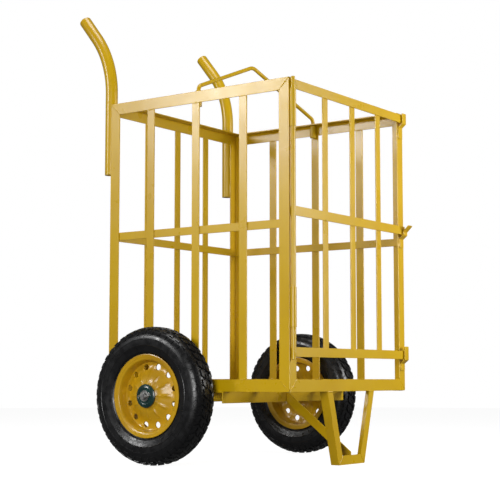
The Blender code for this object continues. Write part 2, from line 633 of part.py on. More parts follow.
build_posts()
build_ring("top", CAGE_TOP, -Z_AXIS, has_front=False)
build_ring("bottom", CAGE_BOTTOM, Z_AXIS, has_front=True)
build_mid_rails()
build_slats()
build_floor()
build_beams()
build_stand()
build_axle()
build_wheel("left", -1)
build_wheel("right", 1)
build_handles()
build_hoop()
build_gate()
build_hooks()
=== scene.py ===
"""Studio scene of a two-wheeled cage hand cart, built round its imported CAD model."""
import json
from math import cos, pi, radians, sin, tan

import bmesh
import bpy
from mathutils import Matrix, Vector, noise


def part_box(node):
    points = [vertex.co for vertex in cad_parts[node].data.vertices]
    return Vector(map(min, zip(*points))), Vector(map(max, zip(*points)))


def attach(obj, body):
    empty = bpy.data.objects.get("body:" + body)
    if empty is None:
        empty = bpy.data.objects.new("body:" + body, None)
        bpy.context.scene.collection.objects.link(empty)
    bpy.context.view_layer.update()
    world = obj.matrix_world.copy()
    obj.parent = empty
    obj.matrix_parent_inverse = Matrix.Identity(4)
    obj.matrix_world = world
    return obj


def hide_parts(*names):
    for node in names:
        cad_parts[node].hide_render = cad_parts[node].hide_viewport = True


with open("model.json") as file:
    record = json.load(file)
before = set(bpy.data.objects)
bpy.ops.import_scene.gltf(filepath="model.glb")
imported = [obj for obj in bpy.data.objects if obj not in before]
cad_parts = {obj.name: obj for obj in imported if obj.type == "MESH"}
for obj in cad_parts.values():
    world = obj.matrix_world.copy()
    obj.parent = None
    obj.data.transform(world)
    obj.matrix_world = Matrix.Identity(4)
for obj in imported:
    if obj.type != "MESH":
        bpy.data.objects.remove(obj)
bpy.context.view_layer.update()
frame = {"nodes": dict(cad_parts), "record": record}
NODES = frame["nodes"]

X_AXIS = Vector((1, 0, 0))
Y_AXIS = Vector((0, 1, 0))
Z_AXIS = Vector((0, 0, 1))

# ---------------------------------------------------------------- places read from the frame
CAGE_LOW, CAGE_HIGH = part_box("bottom_rail_left")
LEFT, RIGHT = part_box("cross_beam_front")[0].x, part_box("cross_beam_front")[1].x
FRONT, REAR = CAGE_LOW.y, CAGE_HIGH.y
MIDDLE_Y = (FRONT + REAR) / 2
CAGE_BOTTOM, CAGE_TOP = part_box("post_rear_left")[0].z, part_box("post_rear_left")[1].z
ANGLE_SIZE = 0.035
FLAT_WALL = 0.004
GAP = 0.0003
CHAMFER = 0.0006
SIDES = (("left", -1), ("right", 1))
BAR_NUMBERS = (1, 2, 3)

# ---------------------------------------------------------------- wheels (along the axle, radius)
TYRE_RADIUS = 0.201
TREAD_DEPTH = 0.0045
TREAD_PITCHES = 44
TYRE_SEGMENTS = 132
RIM_SEGMENTS = 96
RIM_HOLES = 12
RIM_HOLE_CIRCLE = 0.086
RIM_HOLE_RADIUS = 0.009
RIM_HOLE_PLANE = 0.007
RIM_HOLE_DEPTH = 0.014
RIB_HEIGHT = 0.0042
DIMPLE_DEPTH = 0.0028
HUB_HALF_LENGTH = 0.036
BUSH_RADIUS = 0.0172
BUSH_BORE = 0.0103
WASHER_RADIUS = 0.0160
WASHER_BORE = 0.0106
WASHER_EDGE = 0.0003

# ---------------------------------------------------------------- tread blocks
LUG_STEPS = 5
LUG_ROOT = -0.0012
LUG_SLOPE = 0.0011
LUG_TAPER = 0.14
SHOULDER_REACHES = (0.0495, 0.0530)
SHOULDER_LUG_HEIGHT = 0.0019
MIDDLE_LUG_HEIGHT = 0.0034

# ---------------------------------------------------------------- tubes and rods
HANDLE_RADIUS = 0.019
HANDLE_WALL = 0.002
HANDLE_BEND_START = 1.140
HANDLE_BEND_RADIUS = 0.300
HANDLE_BEND_ANGLE = radians(38.5)
HANDLE_GRIP_LENGTH = 0.082
HANDLE_SIDES = 40
SLEEVE_BORE = 0.0066
HOOP_RADIUS = 0.006
HOOP_SHOULDER = 1.118
HOOP_PEAK = 1.229
HOOP_PEAK_X = -0.036
HOOP_SHOULDER_RADIUS = 0.018
HOOP_COLLAR_RADIUS = 0.0095
HOOP_PEAK_RADIUS = 0.045

# ---------------------------------------------------------------- weld bead widths
MITRE_BEAD = 0.0034
THIN_BEAD = 0.0036
GATE_END_BEAD = 0.0040
BEAD = 0.0042
GATE_BAR_BEAD = 0.0044
SLAT_BEAD = 0.0045
RAIL_BEAD = 0.0046
HINGE_BEAD = 0.0050
HEAVY_BEAD = 0.0060
BEAD_RIPPLE = 0.0028
BEAD_SECTION = [(-1, -0.25), (-0.8, 0.45), (-0.3, 0.9), (0.3, 0.9), (0.8, 0.45), (1, -0.25)]

# ---------------------------------------------------------------- camera, from the cage's middle
CAMERA_FROM_CAGE = Vector((-3.339, -2.333, 0.256))
CAMERA_HEADING = radians(35.36)       # from +X towards +Y
CAMERA_PITCH = radians(5.56)
CAMERA_LENS = 93.8

# ---------------------------------------------------------------- lights (place, size, power)
WORLD_STRENGTH = 0.10
LIGHT_AIM_Z = 0.65
SOFTBOXES = (("key_front", (0.9, -2.0, 1.0), (1.1, 1.1), 40),
             ("side_left", (-3.2, -1.2, 0.7), (1.2, 1.2), 55),
             ("strip_left", (-3.9, 2.45, 2.15), (0.8, 0.9), 58),
             ("overhead", (-0.6, 0.0, 3.4), (1.2, 1.2), 30))


# ---------------------------------------------------------------- material helpers
class Painter:
    """A material with a short way to add and join its nodes."""

    def __init__(self, name):
        self.material = bpy.data.materials.new(name)
        self.material.use_nodes = True
        self.tree = self.material.node_tree
        self.shader = self.tree.nodes["Principled BSDF"]
        self.place = self.add("ShaderNodeTexCoord").outputs["Object"]

    def add(self, kind, **settings):
        node = self.tree.nodes.new(kind)
        for key, value in settings.items():
            setattr(node, key, value)
        return node

    def link(self, source, target):
        self.tree.links.new(source, target)

    def noise(self, scale, detail=3.0, roughness=0.5, place=None):
        node = self.add("ShaderNodeTexNoise")
        node.inputs["Scale"].default_value = scale
        node.inputs["Detail"].default_value = detail
        node.inputs["Roughness"].default_value = roughness
        self.link(place or self.place, node.inputs["Vector"])
        return node.outputs["Fac"]

    def ramp(self, factor, stops):
        """A colour ramp through (position, colour) stops."""
        node = self.add("ShaderNodeValToRGB")
        while len(node.color_ramp.elements) < len(stops):
            node.color_ramp.elements.new(0.5)
        for element, (position, colour) in zip(node.color_ramp.elements, stops):
            element.position = position
            element.color = (*colour, 1.0)
        self.link(factor, node.inputs["Fac"])
        return node.outputs["Color"]

    def span(self, factor, low, high, bottom=0.3, top=0.7):
        """The factor from bottom to top mapped to low to high."""
        node = self.add("ShaderNodeMapRange")
        ends = {"From Min": bottom, "From Max": top, "To Min": low, "To Max": high}
        for key, value in ends.items():
            node.inputs[key].default_value = value
        self.link(factor, node.inputs["Value"])
        return node.outputs["Result"]

    def mix(self, factor, first, colour):
        """The first colour output, blended towards a plain colour."""
        node = self.add("ShaderNodeMix", data_type="RGBA")
        self.link(factor, node.inputs["Factor"])
        self.link(first, node.inputs["A"])
        node.inputs["B"].default_value = (*colour, 1.0)
        return node.outputs["Result"]

    def bump(self, heights):
        """Stacked bumps of (height, strength, distance), the coarsest first."""
        normal = None
        for height, strength, distance in heights:
            node = self.add("ShaderNodeBump")
            node.inputs["Strength"].default_value = strength
            node.inputs["Distance"].default_value = distance
            self.link(height, node.inputs["Height"])
            if normal:
                self.link(normal, node.inputs["Normal"])
            normal = node.outputs["Normal"]
        self.link(normal, self.shader.inputs["Normal"])

    def set(self, **values):
        for key, value in values.items():
            self.shader.inputs[key.replace("_", " ")].default_value = value


def paint_material(name, bright, deep, dirt, dirt_amount):
    """Sprayed enamel: cloudy colour, orange peel, fine dust specks and dull patches."""
    painter = Painter(name)
    cloud = painter.noise(5.0, detail=4.0)
    colour = painter.ramp(cloud, [(0.30, deep), (0.55, bright), (0.80, bright)])
    grime = painter.span(painter.noise(38.0, detail=8.0, roughness=0.7), 0.0, dirt_amount, 0.56, 0.82)
    painter.link(painter.mix(grime, colour, dirt), painter.shader.inputs["Base Color"])
    dullness = painter.noise(16.0, detail=4.0)
    painter.link(painter.span(dullness, 0.26, 0.36), painter.shader.inputs["Roughness"])
    painter.bump([(painter.noise(60.0, detail=1.0), 0.03, 0.001),
                  (painter.noise(520.0, detail=2.0), 0.10, 0.0003)])
    painter.set(Coat_Weight=0.35, Coat_Roughness=0.22, Specular_IOR_Level=0.4)
    return painter.material


def rubber_material():
    painter = Painter("tyre_rubber")
    cloud = painter.noise(14.0, detail=6.0)
    colour = painter.ramp(cloud, [(0.30, (0.003, 0.003, 0.0035)), (0.75, (0.008, 0.008, 0.0085))])
    painter.link(colour, painter.shader.inputs["Base Color"])
    dullness = painter.span(painter.noise(60.0, detail=6.0), 0.22, 0.42)
    painter.link(dullness, painter.shader.inputs["Roughness"])
    painter.bump([(painter.noise(90.0, detail=3.0), 0.12, 0.001), (painter.noise(700.0), 0.15, 0.0003)])
    return painter.material


def metal_material(name, bright, deep, roughness, streak_scale, axis_scale):
    """Drawn or plated metal with fine streaks; axis_scale stretches them along an axis."""
    painter = Painter(name)
    stretch = painter.add("ShaderNodeMapping")
    stretch.inputs["Scale"].default_value = axis_scale
    painter.link(painter.place, stretch.inputs["Vector"])
    streak = painter.noise(streak_scale, detail=4.0, place=stretch.outputs["Vector"])
    painter.link(painter.ramp(streak, [(0.3, deep), (0.7, bright)]), painter.shader.inputs["Base Color"])
    painter.link(painter.span(streak, roughness, roughness + 0.15), painter.shader.inputs["Roughness"])
    painter.bump([(streak, 0.12, 0.0004)])
    painter.set(Metallic=1.0)
    return painter.material


def cap_material():
    painter = Painter("hub_cap_green")
    cloud = painter.noise(40.0, detail=4.0)
    colour = painter.ramp(cloud, [(0.3, (0.004, 0.022, 0.020)), (0.7, (0.008, 0.045, 0.040))])
    painter.link(colour, painter.shader.inputs["Base Color"])
    painter.link(painter.span(painter.noise(120.0), 0.18, 0.34), painter.shader.inputs["Roughness"])
    painter.bump([(painter.noise(300.0), 0.10, 0.0004)])
    painter.set(Coat_Weight=0.4, Coat_Roughness=0.1)
    return painter.material


PAINT = paint_material("cage_paint", (0.62, 0.385, 0.002), (0.57, 0.34, 0.002),
                       (0.25, 0.13, 0.01), 0.15)
RIM_PAINT = paint_material("rim_paint", (0.58, 0.33, 0.006), (0.44, 0.23, 0.004),
                           (0.13, 0.06, 0.01), 0.55)
RUBBER = rubber_material()
STEEL = metal_material("axle_steel_bar", (0.50, 0.50, 0.49), (0.30, 0.29, 0.28),
                       0.30, 60.0, (0.1, 1.0, 1.0))
ZINC = metal_material("zinc_plating", (0.70, 0.70, 0.68), (0.50, 0.50, 0.50),
                      0.22, 180.0, (1.0, 1.0, 1.0))
BRONZE = metal_material("bush_bronze_metal", (0.45, 0.30, 0.13), (0.28, 0.17, 0.07),
                        0.35, 120.0, (1.0, 1.0, 1.0))
CAP_GREEN = cap_material()
SLOT_MATERIALS = {"yellow_paint": PAINT, "black_rubber": RUBBER, "axle_steel": STEEL,
                  "zinc_plate": ZINC, "bush_bronze": BRONZE, "dark_green_cap": CAP_GREEN}


# ---------------------------------------------------------------- piece helpers
def add_piece(name, shape, paint, body, replaced=(), smooth_angle=35):
    """A finished mesh that rides on a body and may stand for CAD nodes."""
    bmesh.ops.recalc_face_normals(shape, faces=shape.faces)
    mesh = bpy.data.meshes.new(name)
    shape.to_mesh(mesh)
    shape.free()
    mesh.materials.append(paint)
    mesh.shade_smooth()
    mesh.set_sharp_from_angle(angle=radians(smooth_angle))
    piece = bpy.data.objects.new(name, mesh)
    bpy.context.scene.collection.objects.link(piece)
    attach(piece, body)
    if replaced:
        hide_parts(*replaced)
    return piece


def lathe_into(shape, profile, centre, axis, segments, closed=True):
    """A profile of (along, radius) turned about an axis through centre, in an empty mesh."""
    side_axis = Y_AXIS if axis == X_AXIS else X_AXIS
    verts = [shape.verts.new(axis * along + side_axis * radius) for along, radius in profile]
    edges = [shape.edges.new(pair) for pair in zip(verts, verts[1:])]
    if closed:
        edges.append(shape.edges.new((verts[-1], verts[0])))
    bmesh.ops.spin(shape, geom=verts + edges, cent=(0, 0, 0), axis=axis, angle=2 * pi,
                   steps=segments)
    bmesh.ops.remove_doubles(shape, verts=shape.verts[:], dist=0.000005)
    bmesh.ops.translate(shape, verts=shape.verts[:], vec=centre)


def rounded_path(corners, radii, steps):
    """Straight runs between corners, with an arc at each inner corner, one radius for each."""
    corners = [Vector(corner) for corner in corners]
    path = [corners[0]]
    for before, corner, after, radius in zip(corners, corners[1:], corners[2:], radii):
        back, ahead = (before - corner).normalized(), (after - corner).normalized()
        turn = pi - back.angle(ahead)
        start = corner + back * radius * tan(turn / 2)
        centre = corner + (back + ahead).normalized() * radius / cos(turn / 2)
        spoke = start - centre
        normal = ahead.cross(back).normalized()
        for step in range(steps + 1):
            path.append(centre + Matrix.Rotation(turn * step / steps, 3, normal) @ spoke)
    return path + [corners[-1]]


def ring_at(shape, path, index, normal, radius, sides):
    """One ring of a round section, square to the path at a point of it."""
    ahead = path[min(index + 1, len(path) - 1)] - path[index]
    behind = path[index] - path[max(index - 1, 0)]
    tangent = (ahead.normalized() + behind.normalized()).normalized()
    across = tangent.cross(normal)
    turns = [2 * pi * side / sides for side in range(sides)]
    return [shape.verts.new(path[index] + radius * (cos(t) * across + sin(t) * normal)) for t in turns]


def skin(shape, rings):
    """Quads from each closed ring to the next."""
    for ring, following in zip(rings, rings[1:]):
        for side in range(len(ring)):
            other = (side + 1) % len(ring)
            shape.faces.new((ring[side], ring[other], following[other], following[side]))


def capped_skin(shape, rings):
    skin(shape, rings)
    shape.faces.new(rings[0])
    shape.faces.new(rings[-1])


def rod_into(shape, path, radii, normal, sides):
    rings = [ring_at(shape, path, i, normal, radii[i], sides) for i in range(len(path))]
    capped_skin(shape, rings)


# ---------------------------------------------------------------- tyres
TREAD_LINE = [(0.0, TYRE_RADIUS - TREAD_DEPTH), (0.0100, 0.1963), (0.0200, 0.1951), (0.0300, 0.1920),
              (0.0375, 0.1862), (0.0425, 0.1785), (0.0447, 0.1720), (0.0456, 0.1662)]
SIDEWALL = [(0.0300, 0.1085), (0.0345, 0.1235), (0.0372, 0.1270), (0.0394, 0.1272), (0.0408, 0.1300),
            (0.0412, 0.1345), (0.0436, 0.1400), (0.0452, 0.1455), (0.0463, 0.1465), (0.0464, 0.1482),
            (0.0457, 0.1492), (0.0461, 0.1560), (0.0460, 0.1625), (0.0466, 0.1635), (0.0465, 0.1652)]
LINING = [(-0.022, 0.109), (-0.027, 0.122), (-0.0385, 0.160), (-0.030, 0.181), (0.0, 0.189),
          (0.030, 0.181), (0.0385, 0.160), (0.027, 0.122), (0.022, 0.109)]


def on_tread(distance):
    """The tread line's point and outward normal at a signed distance from the crown."""
    side = -1 if distance < 0 else 1
    left = abs(distance)
    for (a0, r0), (a1, r1) in zip(TREAD_LINE, TREAD_LINE[1:]):
        run = ((a1 - a0) ** 2 + (r1 - r0) ** 2) ** 0.5
        if left <= run or (a1, r1) == TREAD_LINE[-1]:
            share = left / run
            point = (side * (a0 + (a1 - a0) * share), r0 + (r1 - r0) * share)
            return point, (side * (r0 - r1) / run, (a1 - a0) / run)
        left -= run


def wheel_centre(name):
    low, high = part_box(f"tyre_{name}")
    return (low + high) / 2


def wheel_point(centre, along, radius, turn):
    return centre + Vector((along, radius * cos(turn), radius * sin(turn)))


def add_lug(shape, centre, span, turn, half_width, height, skew=0.0):
    """One rubber block on the tread, over a span of distances from the crown."""
    start, end = span
    outward = 1 if end > start else -1
    outline = ((-1, LUG_ROOT, 0.0), (-1, height, 1.0), (1, height, 1.0), (1, LUG_ROOT, 0.0))
    rings = []
    for step in range(LUG_STEPS + 1):
        share = step / LUG_STEPS
        distance = start + (end - start) * share
        middle = turn + skew * (share - 0.5)
        slope = {0: LUG_SLOPE, LUG_STEPS: -LUG_SLOPE}.get(step, 0.0) * outward
        corners = []
        for edge, lift, pull in outline:
            (along, radius), (normal_along, normal_radius) = on_tread(distance + slope * pull)
            width = half_width * (1 - LUG_TAPER * pull)
            point = wheel_point(centre, along + normal_along * lift, radius + normal_radius * lift,
                                middle + edge * width)
            corners.append(shape.verts.new(point))
        rings.append(corners)
    capped_skin(shape, rings)


def build_tyre(name):
    """The carcass with raised rings on its sidewalls, and rows of blocks round its tread."""
    centre = wheel_centre(name)
    half = SIDEWALL + TREAD_LINE[::-1]
    outer = half + [(-along, radius) for along, radius in reversed(half[:-1])]
    shape = bmesh.new()
    lathe_into(shape, outer + LINING, centre, X_AXIS, TYRE_SEGMENTS)
    pitch = 2 * pi / TREAD_PITCHES
    height = TREAD_DEPTH - 0.0003
    for number in range(TREAD_PITCHES):
        turn = number * pitch
        for edge in (-1, 1):
            outer_turn = turn + (0.25 if edge > 0 else 0.75) * pitch
            reach = SHOULDER_REACHES[number % 2]
            add_lug(shape, centre, (edge * 0.0375, edge * reach), outer_turn,
                    pitch * 0.34, SHOULDER_LUG_HEIGHT)
            add_lug(shape, centre, (edge * 0.0215, edge * 0.0350), outer_turn + 0.5 * pitch,
                    pitch * 0.33, MIDDLE_LUG_HEIGHT, skew=-edge * pitch * 0.25)
            add_lug(shape, centre, (edge * 0.0062, edge * 0.0190), outer_turn,
                    pitch * 0.31, height, skew=edge * pitch * 0.40)
        add_lug(shape, centre, (-0.0040, 0.0040), turn, pitch * 0.30, height)
    add_piece(f"tyre_tread_{name}", shape, RUBBER, f"wheel_{name}",
              (f"tyre_{name}",), smooth_angle=28)


# ---------------------------------------------------------------- rims and hubs
def rim_section():
    """The wheel disc's closed section, outboard positive: barrel, dome and hub tube."""
    barrel = [(0.0377, 0.1190), (0.0372, 0.1208), (0.0358, 0.1212), (0.0342, 0.1205), (0.0328, 0.1080),
              (0.0150, 0.1040), (-0.0150, 0.1040), (-0.0328, 0.1080), (-0.0342, 0.1205), (-0.0358, 0.1212),
              (-0.0372, 0.1208), (-0.0377, 0.1190)]
    back = [(-0.0350, 0.1045), (-0.0150, 0.1005), (0.0020, 0.1005), (0.0042, 0.0950), (0.0048, 0.0880),
            (0.0058, 0.0790), (0.0100, 0.0700), (0.0165, 0.0600), (0.0215, 0.0510), (0.0245, 0.0440),
            (0.0258, 0.0340), (0.0262, 0.0227)]
    hub = [(-HUB_HALF_LENGTH, 0.0227), (-HUB_HALF_LENGTH, BUSH_RADIUS + GAP),
           (HUB_HALF_LENGTH, BUSH_RADIUS + GAP), (HUB_HALF_LENGTH, 0.0270), (0.0345, 0.0300)]
    face = [(0.0305, 0.0340), (0.0285, 0.0440), (0.0255, 0.0520), (0.0205, 0.0615), (0.0140, 0.0710),
            (0.0098, 0.0790), (0.0086, 0.0880), (0.0078, 0.0950), (0.0085, 0.0985), (0.0150, 0.1003),
            (0.0250, 0.1022), (0.0330, 0.1042), (0.0345, 0.1060), (0.0352, 0.1120), (0.0362, 0.1128),
            (0.0366, 0.1180)]
    return barrel + back + hub + face


def press_rim(point_along, radius, turn):
    """How far the pressing pushes a point of the disc outboard."""
    sector = turn * RIM_HOLES / (2 * pi)
    on_rib = max(0.0, cos(2 * pi * sector)) ** 4
    rib = RIB_HEIGHT * on_rib * window(radius, 0.036, 0.080)
    dimple = -DIMPLE_DEPTH * on_rib * window(radius, 0.081, 0.0985)
    return rib + dimple if point_along > -0.001 else 0.0


def window(value, low, high):
    """A smooth hump between low and high."""
    share = (value - low) / (high - low)
    return sin(pi * share) if 0 < share < 1 else 0.0


def build_rim(name, side):
    """The pressed disc with its ribs and dimples, and a ring of round holes through it."""
    centre = wheel_centre(name)
    shape = bmesh.new()
    section = rim_section()
    rings = []
    for step in range(RIM_SEGMENTS):
        turn = 2 * pi * step / RIM_SEGMENTS
        points = [wheel_point(centre, side * (along + press_rim(along, radius, turn)), radius, turn)
                  for along, radius in section]
        rings.append([shape.verts.new(point) for point in points])
    skin(shape, rings + rings[:1])
    rim = add_piece(f"rim_pressing_{name}", shape, RIM_PAINT, f"wheel_{name}",
                    (f"rim_{name}",), smooth_angle=40)
    drills = bmesh.new()
    for number in range(RIM_HOLES):
        turn = 2 * pi * (number + 0.5) / RIM_HOLES
        place = wheel_point(centre, side * RIM_HOLE_PLANE, RIM_HOLE_CIRCLE, turn)
        placing = Matrix.Translation(place) @ Matrix.Rotation(pi / 2, 4, "Y")
        bmesh.ops.create_cone(drills, cap_ends=True, segments=20, radius1=RIM_HOLE_RADIUS,
                              radius2=RIM_HOLE_RADIUS, depth=RIM_HOLE_DEPTH, matrix=placing)
    apply_difference(rim, drills)


def apply_difference(piece, cutters):
    """Subtract the cutters from a piece and keep the result as its mesh."""
    mesh = bpy.data.meshes.new("cutter")
    cutters.to_mesh(mesh)
    cutters.free()
    cutter = bpy.data.objects.new("cutter", mesh)
    bpy.context.scene.collection.objects.link(cutter)
    cut = piece.modifiers.new("holes", "BOOLEAN")
    cut.operation = "DIFFERENCE"
    cut.solver = "EXACT"
    cut.object = cutter
    bpy.context.view_layer.update()
    evaluated = piece.evaluated_get(bpy.context.evaluated_depsgraph_get())
    solid = bpy.data.meshes.new_from_object(evaluated)
    piece.modifiers.clear()
    piece.data = solid
    bpy.data.objects.remove(cutter)
    solid.shade_smooth()
    solid.set_sharp_from_angle(angle=radians(40))


HUB_CAP = [(0.0, 0.0108), (0.0, 0.0332), (0.0008, 0.0340), (0.0024, 0.0339), (0.0032, 0.0330),
           (0.0045, 0.0295), (0.0058, 0.0265), (0.0062, 0.0250), (0.0052, 0.0235), (0.0052, 0.0205),
           (0.0062, 0.0192), (0.0062, 0.0118), (0.0056, 0.0108)]


def build_hub(name, side):
    """The hub cap, smooth and slightly domed, and the bush with chamfered ends."""
    centre = wheel_centre(name)
    cap = [(side * (HUB_HALF_LENGTH + GAP + rise), radius) for rise, radius in HUB_CAP]
    shape = bmesh.new()
    lathe_into(shape, cap, centre, X_AXIS, 64)
    add_piece(f"hub_cover_{name}", shape, CAP_GREEN, f"wheel_{name}",
              (f"hub_cap_{name}",))
    end, inset = HUB_HALF_LENGTH, HUB_HALF_LENGTH - CHAMFER
    bush = [(-end, BUSH_BORE + CHAMFER), (-end, BUSH_RADIUS - CHAMFER), (-inset, BUSH_RADIUS),
            (inset, BUSH_RADIUS), (end, BUSH_RADIUS - CHAMFER), (end, BUSH_BORE + CHAMFER),
            (inset, BUSH_BORE), (-inset, BUSH_BORE)]
    shape = bmesh.new()
    lathe_into(shape, bush, centre, X_AXIS, 40)
    add_piece(f"bush_{name}", shape, BRONZE, f"wheel_{name}", (f"wheel_bush_{name}",))


# ---------------------------------------------------------------- axle, rods, tubes
def build_washers():
    low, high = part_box("axle")
    centre = Vector((0, (low.y + high.y) / 2, (low.z + high.z) / 2))
    edge_radius = WASHER_RADIUS - WASHER_EDGE
    for name, _ in SIDES:
        near, far = (corner.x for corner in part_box(f"axle_washer_{name}"))
        profile = [(near, WASHER_BORE), (near, edge_radius), (near + WASHER_EDGE, WASHER_RADIUS),
                   (far - WASHER_EDGE, WASHER_RADIUS), (far, edge_radius), (far, WASHER_BORE)]
        shape = bmesh.new()
        lathe_into(shape, profile, centre, X_AXIS, 48)
        add_piece(f"washer_{name}", shape, ZINC, "frame", (f"axle_washer_{name}",))


def build_handles():
    """The bent tubes, open at the lower end and closed at the upper one."""
    for name, _ in SIDES:
        low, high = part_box(f"handle_{name}")
        x = (low.x + high.x) / 2
        y = REAR + HANDLE_RADIUS
        bend_reach = HANDLE_BEND_RADIUS * tan(HANDLE_BEND_ANGLE / 2)
        corner = Vector((x, y, HANDLE_BEND_START + bend_reach))
        lean = Vector((0, sin(HANDLE_BEND_ANGLE), cos(HANDLE_BEND_ANGLE)))
        tip = corner + lean * (bend_reach + HANDLE_GRIP_LENGTH)
        path = rounded_path([(x, y, low.z), corner, tip], [HANDLE_BEND_RADIUS], 18)
        end = path.pop()
        ahead = (end - path[-1]).normalized()
        path += [end - ahead * 0.002, end - ahead * 0.0006, end]
        radii = [HANDLE_RADIUS] * (len(path) - 2) + [HANDLE_RADIUS - 0.0004, HANDLE_RADIUS - 0.002]
        shape = bmesh.new()
        outer = [ring_at(shape, path, i, X_AXIS, radii[i], HANDLE_SIDES) for i in range(len(path))]
        lining = path[:-2]
        bore = HANDLE_RADIUS - HANDLE_WALL
        inner = [ring_at(shape, lining, i, X_AXIS, bore, HANDLE_SIDES) for i in range(len(lining))]
        skin(shape, outer)
        skin(shape, inner)
        skin(shape, [outer[0], inner[0]])
        shape.faces.new(outer[-1])
        shape.faces.new(inner[-1])
        add_piece(f"handle_tube_{name}", shape, PAINT, "frame", (f"handle_{name}",))


def build_hoop():
    """The bent rod; each leg widens evenly towards the collar that it rests on."""
    low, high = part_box("hoop")
    leg = high.x - HOOP_COLLAR_RADIUS
    corners = [(-leg, MIDDLE_Y, low.z), (-leg, MIDDLE_Y, HOOP_SHOULDER), (HOOP_PEAK_X, MIDDLE_Y, HOOP_PEAK),
               (leg, MIDDLE_Y, HOOP_SHOULDER), (leg, MIDDLE_Y, low.z)]
    bends = (HOOP_SHOULDER_RADIUS, HOOP_PEAK_RADIUS, HOOP_SHOULDER_RADIUS)
    bend = rounded_path(corners, bends, 10)
    collar_low, collar_high = CAGE_TOP + GAP, CAGE_TOP + 0.004
    heights = (collar_low, collar_low + 0.0008, collar_high - 0.0008, collar_high)
    edge = HOOP_COLLAR_RADIUS - CHAMFER
    steps = [edge, HOOP_COLLAR_RADIUS, HOOP_COLLAR_RADIUS, edge]
    rise = [Vector((-leg, MIDDLE_Y, z)) for z in heights]
    fall = [Vector((leg, MIDDLE_Y, z)) for z in reversed(heights)]
    path = bend[:1] + rise + bend[1:-1] + fall + bend[-1:]
    radii = [HOOP_RADIUS] + steps + [HOOP_RADIUS] * (len(bend) - 2) + steps + [HOOP_RADIUS]
    shape = bmesh.new()
    rod_into(shape, path, radii, Y_AXIS, 20)
    add_piece("hoop_rod", shape, PAINT, "hoop", ("hoop",))


def build_upright_tubes():
    """The gate's stile and the sleeves that it and the hoop stand in, smooth and chamfered."""
    tubes = [("gate_rod", "gate_stile", "gate_rod", 0.0),
             ("hinge_sleeve_upper", "hinge_tube_upper", "frame", SLEEVE_BORE),
             ("hinge_sleeve_lower", "hinge_tube_lower", "frame", SLEEVE_BORE),
             ("hoop_sleeve_left", "hoop_tube_left", "frame", SLEEVE_BORE),
             ("hoop_sleeve_right", "hoop_tube_right", "frame", SLEEVE_BORE)]
    for node, name, body, bore in tubes:
        low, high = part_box(node)
        radius = (high.x - low.x) / 2
        centre = Vector(((low.x + high.x) / 2, (low.y + high.y) / 2, 0))
        outside = [(low.z, radius - CHAMFER), (low.z + CHAMFER, radius),
                   (high.z - CHAMFER, radius), (high.z, radius - CHAMFER)]
        inside = [(high.z, bore), (low.z, bore)]
        shape = bmesh.new()
        lathe_into(shape, outside + inside, centre, Z_AXIS, 32, closed=bore > 0)
        add_piece(name, shape, PAINT, body, (node,))


# ---------------------------------------------------------------- weld beads
def add_bead(shape, start, end, out, width=BEAD):
    """A rippled weld bead between two points, bulging towards out."""
    start, end, out = Vector(start), Vector(end), Vector(out).normalized()
    along = end - start
    length = along.length
    along.normalize()
    across = along.cross(out).normalized()
    steps = max(4, int(length / (BEAD_RIPPLE / 3)))
    rings = []
    for step in range(steps + 1):
        share = step / steps
        point = start + along * length * share
        taper = min(1.0, 4 * min(share, 1 - share) + 0.25)
        wobble = 1 + 0.20 * noise.noise(point * 260)
        wave = 1 + 0.16 * cos(2 * pi * share * length / BEAD_RIPPLE)
        half = width / 2 * taper * wobble
        rise = half * 0.85 * wave
        rings.append([shape.verts.new(point + across * half * wide + out * rise * high)
                      for wide, high in BEAD_SECTION])
    capped_skin(shape, rings)


def bead_slats(shape):
    """Beads across the ends of the slats, outside and inside the rails."""
    bars = [f"side_bar_{side}_{n}" for side, _ in SIDES for n in BAR_NUMBERS]
    for node in bars:
        low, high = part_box(node)
        outer = low.x if low.x < 0 else high.x
        out = Vector((-1 if low.x < 0 else 1, 0, 0))
        inner = outer - out.x * FLAT_WALL
        for z in (low.z - GAP / 2, high.z + GAP / 2):
            add_bead(shape, (outer, low.y + 0.002, z), (outer, high.y - 0.002, z), out, width=THIN_BEAD)
            add_bead(shape, (inner, low.y + 0.002, z), (inner, high.y - 0.002, z), -out, width=SLAT_BEAD)
    for n in BAR_NUMBERS:
        low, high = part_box(f"rear_bar_{n}")
        for z in (low.z - GAP / 2, high.z + GAP / 2):
            add_bead(shape, (low.x + 0.002, high.y, z), (high.x - 0.002, high.y, z), Y_AXIS, width=THIN_BEAD)
            add_bead(shape, (low.x + 0.002, low.y, z), (high.x - 0.002, low.y, z), -Y_AXIS, width=SLAT_BEAD)


def bead_mid_rails(shape):
    """Upright beads where the slats cross the middle rails, and at the rails' ends."""
    for side, sign in SIDES:
        rail_low, rail_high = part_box(f"mid_rail_{side}")
        face = rail_low.x if sign < 0 else rail_high.x
        for n in BAR_NUMBERS:
            low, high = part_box(f"side_bar_{side}_{n}")
            for y, lean in ((low.y, -1), (high.y, 1)):
                out = Vector((sign, lean, 0))
                add_bead(shape, (face, y, rail_low.z + 0.003), (face, y, rail_high.z - 0.003), out,
                         width=RAIL_BEAD)
        for y, lean in ((rail_low.y, 1), (rail_high.y, -1)):
            out = Vector((sign, lean, 0))
            add_bead(shape, (face, y, rail_low.z + 0.002), (face, y, rail_high.z - 0.002), out,
                     width=RAIL_BEAD)
    rail_low, rail_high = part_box("mid_rail_rear")
    for n in BAR_NUMBERS:
        low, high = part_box(f"rear_bar_{n}")
        for x, lean in ((low.x, -1), (high.x, 1)):
            add_bead(shape, (x, rail_high.y, rail_low.z + 0.003), (x, rail_high.y, rail_high.z - 0.003),
                     Vector((lean, 1, 0)), width=RAIL_BEAD)


